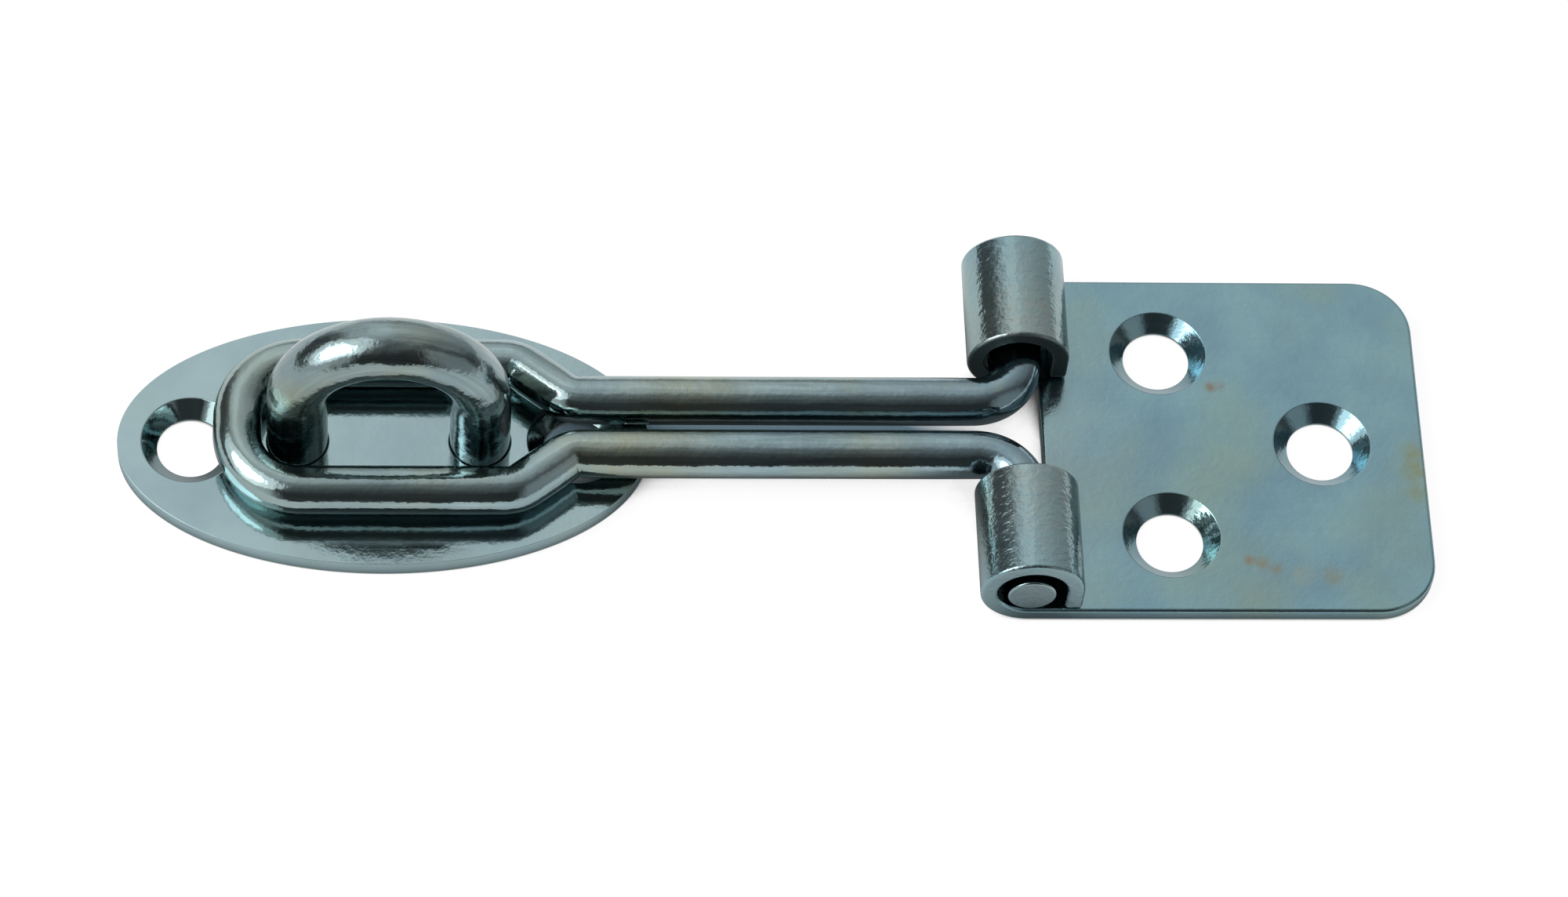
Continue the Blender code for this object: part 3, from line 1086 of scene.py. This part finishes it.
@dataclass(frozen=True)
class Studio:
    """Pale floor, a wide soft panel behind and above, a round one at the left, and the camera.

    A sky is the share of a floor point's sky that is free: where its glow is least, and where it
    is in full. The room's levels are how bright it looks, where 1 is white.
    """

    middle: Place = (-0.055, 0.0, 0.004)
    floor_half: float = 3.0
    floor_drop: float = 0.0002
    floor_shade: float = 0.12  # share of the floor's white that the object's shadow can take away
    floor_glow: float = 1.05
    sky_samples: int = 16
    crevice_reach: float = 0.006
    crevice_sky: Pair = (0.2, 0.45)
    crevice_least: float = 0.05
    foot_reach: float = 0.050
    foot_sky: Pair = (0.55, 0.92)
    foot_least: float = 0.1
    # a painted shadow on the floor where the hasp's legs cover it: its ellipse, fade, sky span,
    # colour
    slit_middle: Pair = (-0.051, 0.0015)
    slit_half: Pair = (0.024, 0.0045)
    slit_fade: Pair = (0.8, 1.1)
    slit_sky: Pair = (0.4, 0.8)
    slit_shadow_colour: str = "567280"
    elevation: float = 58.315
    yaw: float = 7.602
    roll: float = 6.678
    camera_place: Place = (-0.087394, -0.306785, 0.501934)
    lens: float = 131.364
    sensor: float = 36.0
    clip: float = 0.01
    panel_by_y: tuple[Pair, ...] = (
        (0.0, 0.06), (0.03, 0.04), (0.10, 0.05), (0.22, 0.12), (0.39, 0.25),
        (0.59, 0.66), (0.79, 0.87), (0.95, 0.74), (1.0, 0.42),
    )
    panel_by_x: tuple[Pair, ...] = (
        (0.0, 0.10), (0.14, 0.10), (0.20, 0.22), (0.29, 0.72), (0.40, 1.0),
        (0.48, 0.97), (0.56, 0.76), (0.70, 0.62), (0.90, 0.45), (1.0, 0.20),
    )
    panel_level: float = 1.35
    dim: float = 0.06
    wall_levels: Pair = (0.85, 0.45)  # left and right
    wall_side: Pair = (0.3, 0.65)
    wall_front: Pair = (-0.4, -0.05)
    key_way: Place = (-0.74, -0.17, 0.65)
    key_distance: float = 0.8
    key_width: float = 0.54
    key_radiance: float = 5.2
    halo_width: float = 1.0
    halo_radiance: float = 1.3

    def build(self) -> None:
        """Make the floor, the world, the left panel with its softer rim, and the camera."""
        self.floor()
        self.world()
        self.lamp("left_panel", self.key_way, self.key_width, self.key_radiance)
        self.lamp("left_panel_halo", self.key_way, self.halo_width, self.halo_radiance)
        self.camera()
        bpy.context.scene.view_settings.view_transform = "Standard"

    def floor(self) -> None:
        """A plane; a share of its white is lit, so that the object's shadow shows, the rest glows.

        The glow is dimmed by occlusion, a painted shade: it goes out in narrow places under the
        object, which get no light in a real room, and the metal sees it dimmed all round the
        object's foot.
        """
        mesh = bpy.data.meshes.new("floor")
        half, low = self.floor_half, -self.floor_drop
        corners = [(-half, -half, low), (half, -half, low), (half, half, low), (-half, half, low)]
        mesh.from_pydata(corners, [], [(0, 1, 2, 3)])
        material = bpy.data.materials.new("pale_floor")
        material.use_nodes = True
        tree = material.node_tree
        tree.nodes.clear()
        lit = add_node(tree, "BsdfDiffuse", {}, {"Color": srgb("ffffff")}).outputs[0]
        # painted shade: the glow is dimmed by how much of a floor point's sky is covered
        low_sky, sky = (self.sky(tree, reach) for reach in (self.crevice_reach, self.foot_reach))
        near = self.glow(tree, low_sky, self.crevice_sky, self.crevice_least)
        round_foot = self.glow(tree, sky, self.foot_sky, self.foot_least)
        direct = add_node(tree, "LightPath").outputs["Is Camera Ray"]
        level = {0: direct, 2: round_foot, 3: near}
        level = add_node(tree, "Mix", {"data_type": "FLOAT"}, level).outputs[0]
        glow = {"Color": self.painted_shadow_between_legs(tree, sky), "Strength": level}
        glow = add_node(tree, "Emission", {}, glow).outputs[0]
        share = math_node(tree, "MULTIPLY", seen_rays(tree), 1 - self.floor_shade)
        mixed = add_node(tree, "MixShader", {}, {0: share, 1: lit, 2: glow}).outputs[0]
        add_node(tree, "OutputMaterial", {}, {"Surface": mixed})
        mesh.materials.append(material)
        floor = bpy.data.objects.new("floor", mesh)
        bpy.context.scene.collection.objects.link(floor)

    def sky(self, tree: Tree, reach: float) -> Socket:
        """Share of a floor point's sky that is free, counting what stands within the reach."""
        samples, inputs = {"samples": self.sky_samples}, {"Distance": reach}
        return add_node(tree, "AmbientOcclusion", samples, inputs).outputs["AO"]

    def glow(self, tree: Tree, sky: Socket, span: Pair, least: float) -> Socket:
        """The floor's glow, from its least share to the whole, over a span of the sky."""
        return map_range(tree, sky, span, (least * self.floor_glow, self.floor_glow))

    def painted_shadow_between_legs(self, tree: Tree, sky: Socket) -> Socket:
        """The floor's colour: white, with a painted shadow, dark and bluish, where the hasp's legs
        cover it.

        The painted shadow is an ellipse on the floor, and it clears up when the hasp swings away.

        Args:
            tree: the floor's nodes.
            sky: the share of free sky.

        Returns:
            The socket with the colour.
        """
        (x, y), (half_x, half_y) = self.slit_middle, self.slit_half
        place = {
            "Vector": add_node(tree, "TexCoord").outputs["Object"],
            "Location": (-x / half_x, -y / half_y, 0.0),
            "Scale": (1 / half_x, 1 / half_y, 0.0),
        }
        unit = add_node(tree, "Mapping", {}, place).outputs["Vector"]
        out = add_node(tree, "VectorMath", {"operation": "LENGTH"}, {0: unit}).outputs["Value"]
        inside = map_range(tree, out, self.slit_fade, (1.0, 0.0))
        covered = map_range(tree, sky, self.slit_sky, (1.0, 0.0))
        share = math_node(tree, "MULTIPLY", inside, covered)
        # painted shadow: inside the ellipse the floor turns to the shadow's colour where its sky is
        # covered
        return mix_colours(tree, share, srgb("ffffff"), srgb(self.slit_shadow_colour))

    def world(self) -> None:
        """A wide soft panel behind and above, which fades by direction into a dimmer room.

        The room is lighter towards the front's two sides, where its side walls stand.
        """
        world = bpy.data.worlds.new("studio")
        bpy.context.scene.world = world
        world.use_nodes = True
        tree = world.node_tree
        tree.nodes.clear()
        way = add_node(tree, "TexCoord").outputs["Generated"]
        axes = add_node(tree, "SeparateXYZ", {}, {0: way}).outputs
        level = self.panel_level
        for axis, stops in (("X", self.panel_by_x), ("Y", self.panel_by_y)):
            unit = map_range(tree, axes[axis], (-1.0, 1.0))
            ramp = add_node(tree, "ValToRGB", {}, {0: unit})
            ramp.color_ramp.interpolation = "EASE"
            fill_ramp(ramp, stops)
            level = math_node(tree, "MULTIPLY", level, ramp.outputs["Color"])
        level = math_node(tree, "MAXIMUM", level, self.dim)
        ahead = map_range(tree, axes["Y"], self.wall_front, (1.0, 0.0), "SMOOTHSTEP")
        for side, wall in zip((-1, 1), self.wall_levels):
            span = tuple(side * x for x in self.wall_side)
            aside = map_range(tree, axes["X"], span, (0.0, wall), "SMOOTHSTEP")
            level = math_node(tree, "MAXIMUM", level, math_node(tree, "MULTIPLY", aside, ahead))
        glow = {"Color": srgb("ffffff"), "Strength": level}
        room = add_node(tree, "Background", {}, glow).outputs[0]
        add_node(tree, "OutputWorld", {}, {"Surface": room})

    def lamp(self, name: str, way: Place, width: float, radiance: float) -> None:
        """A round panel that faces the object.

        Its power is radiance times pi times its area, which makes it that bright to look at.

        Args:
            name: the lamp's name.
            way: direction from the object to it.
            width: its diameter.
            radiance: how bright it looks, where 1 is white.
        """
        light = bpy.data.lights.new(name, "AREA")
        light.shape = "DISK"
        light.size = width
        light.energy = radiance * math.pi * math.pi * (width / 2) ** 2
        lamp = bpy.data.objects.new(name, light)
        unit = Vector(way).normalized()
        lamp.location = Vector(self.middle) + unit * self.key_distance
        lamp.rotation_euler = unit.to_track_quat("Z", "Y").to_euler()
        bpy.context.scene.collection.objects.link(lamp)

    def camera(self) -> None:
        """The camera: its forward direction from yaw and elevation, then rolled about it."""
        elevation, yaw, roll = (math.radians(a) for a in (self.elevation, self.yaw, self.roll))
        level = math.cos(elevation)
        forward = Vector((math.sin(yaw) * level, math.cos(yaw) * level, -math.sin(elevation)))
        right = Vector((math.cos(yaw), -math.sin(yaw), 0.0))
        up = right.cross(forward)
        rolled_right = math.cos(roll) * right + math.sin(roll) * up
        rolled_up = math.cos(roll) * up - math.sin(roll) * right
        data = bpy.data.cameras.new("camera")
        data.sensor_fit = "HORIZONTAL"
        data.sensor_width = self.sensor
        data.lens = self.lens
        data.clip_start = self.clip
        camera = bpy.data.objects.new("camera", data)
        turned = Matrix((rolled_right, rolled_up, -forward)).transposed().to_4x4()
        camera.matrix_world = Matrix.Translation(self.camera_place) @ turned
        bpy.context.scene.collection.objects.link(camera)
        bpy.context.scene.camera = camera


def seen_rays(tree: Tree) -> Socket:
    """1 for rays that show the background: the camera's, a mirror's and a glass's.

    Args:
        tree: the node tree.

    Returns:
        The socket with the value.
    """
    path = add_node(tree, "LightPath").outputs
    total = path["Is Camera Ray"]
    for name in ("Is Glossy Ray", "Is Transmission Ray"):
        total = math_node(tree, "MAXIMUM", total, path[name])
    return total


def main() -> None:
    """Build the pieces in order and light them."""
    logging.basicConfig(level=logging.INFO, format="%(name)s: %(message)s")
    sheet = Sheet()
    leaf_zinc = ZincPlate(
        name="blue_zinc_plated_sheet", bright="84a7ae", cloudy="7697a5", warm="8ba092",
        polish=0.15, haze=0.06, mark_contrast=0.012, mark_depth_mm=0.0008, warm_share=0.6,
        # cut edges 0.82 as bright, and the notch's walls 0.28: painted shade
        grain_mm=0.7, grain_depth_mm=0.03, bent_grain=3.0, sheared_dull_shade_and_light=0.82, sheared_haze=0.1,
        stains=(
            Stain((20.4, 6.9, 1.8), 1.0, 1.1),
            Stain((21.5, 7.0, 1.8), 0.9, 0.9),
            Stain((40.8, -1.0, 1.8), 1.9, 1.2, "8a8c62"),
            Stain((40.8, -3.2, 1.8), 2.1, 1.3, "8a8c62"),
            Stain((40.8, -5.8, 1.8), 1.8, 0.9, "8a8c62"),
            Stain((22.9, -14.0, 1.8), 1.0, 1.2, "8f7452"),
            Stain((24.2, -14.3, 1.8), 1.2, 1.2, "8f7f52"),
            Stain((25.6, -15.0, 1.8), 1.1, 0.9, "8f7f52"),
            Stain((28.3, -15.7, 1.8), 1.8, 0.7, "a3a184"),
            Stain((31.3, -15.8, 1.8), 1.8, 0.8, "8f7f52"),
            Stain((24.0, -18.4, 1.8), 5.0, 0.6, "93a083"),
            Stain((-14.0, 0.0, 0.0), 32.0, 1.6, "96a09c"),
        ),
    )
    oval_zinc = ZincPlate(
        name="pale_zinc_plated_sheet", bright="96adb1", cloudy="8ca3a8", warm="92a49e",
        polish=0.08, haze=0.04, mark_contrast=0.012, mark_depth_mm=0.0008,
        # the oval's cut rim is painted 1.35 times lighter: a painted reflection of the floor
        grain_mm=0.7, grain_depth_mm=0.012, sheared_dull_shade_and_light=1.35, sheared_haze=0.35,
    )
    hasp_zinc = ZincPlate(
        name="bright_zinc_plated_wire", bright="93a9ae", cloudy="839aa0", warm="989c7e",
        polish=0.10, haze=0.06, mark_width_mm=0.4, mark_length_mm=7.0, mark_contrast=0.15,
        warm_share=0.5, warm_mm=11.0,
        grain_mm=0.9, grain_depth_mm=0.035, wave_mm=4.0, wave_depth_mm=0.1, sheared_dull_shade_and_light=0.9,
        stains=(
            Stain((100.0, 0.0, 0.0), 54.0, 1.1, "8fa09b"),
            Stain((49.0, 0.0, 0.0), 11.0, 1.0, "9e9d7e"),
            Stain((148.0, 0.0, 0.0), 13.0, 0.9, "9e9d7e"),
            Stain((172.0, 0.0, 0.0), 7.0, 0.8, "9e9d7e"),
            Stain((9.0, 0.0, 0.0), 24.0, 2.6, "7f97a1"),
            Stain((192.0, 0.0, 0.0), 22.0, 2.2, "7f97a1"),
        ),
    )
    staple_zinc = ZincPlate(
        name="warm_zinc_plated_wire", bright="8a9c9e", cloudy="7a8c90", warm="969a7c",
        mark_width_mm=0.4, mark_length_mm=7.0, mark_contrast=0.15, warm_share=0.55, warm_mm=8.0,
        grain_mm=0.9, grain_depth_mm=0.055, wave_mm=3.0, wave_depth_mm=0.2,
        polish=0.13, haze=0.07,
    )
    HingePlate(sheet, leaf_zinc).build()
    StaplePlate(sheet, oval_zinc).build()
    Staple(staple_zinc).build()
    WireHasp(hasp_zinc).build()
    Studio().build()


if __name__ == "__main__":
    main()
